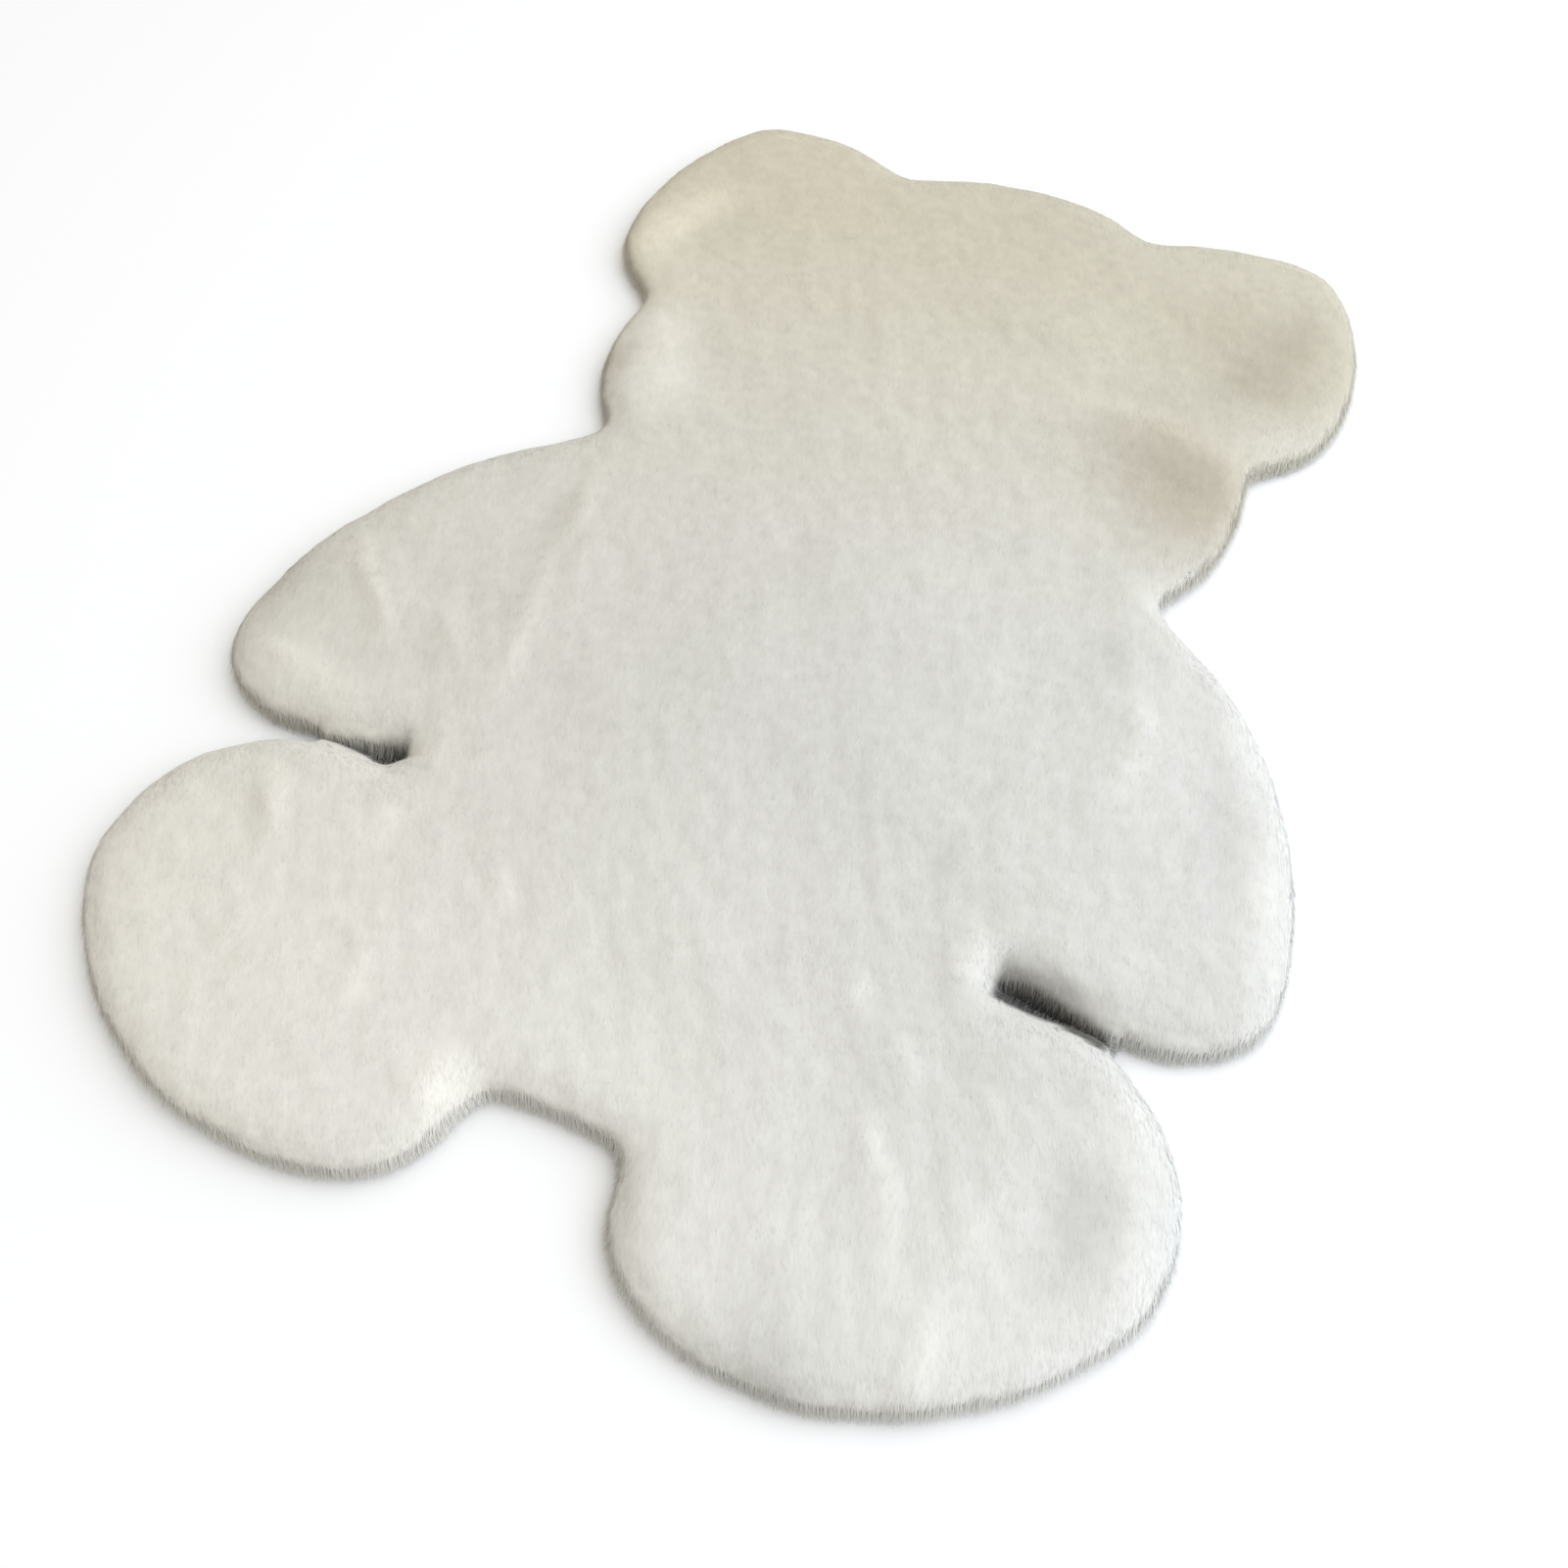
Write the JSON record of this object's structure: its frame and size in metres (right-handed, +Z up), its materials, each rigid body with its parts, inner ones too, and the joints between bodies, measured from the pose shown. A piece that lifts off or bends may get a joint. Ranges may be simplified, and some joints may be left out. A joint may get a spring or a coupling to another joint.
{
  "type": "plush floor rug",
  "caption": "Animal-shaped plush floor rug with round ears, a head, arms and legs, a soft rolled rim, low pile folds and a flat underside.",
  "frame": {"origin": "middle of the rug's box in plan, on the floor at its underside", "axes": "+Y from the feet to the crown of the head, +Z up through the pile, +X to the bear's side that is on the right when the rug is seen from above with the head up"},
  "size_m": [0.5958, 0.8, 0.0211],
  "materials": {
    "pile": "short dense off-white plush pile, matt with a soft sheen"
  },
  "bodies": {
    "root": {"bear_rug": "pile"}
  },
  "joints": []
}
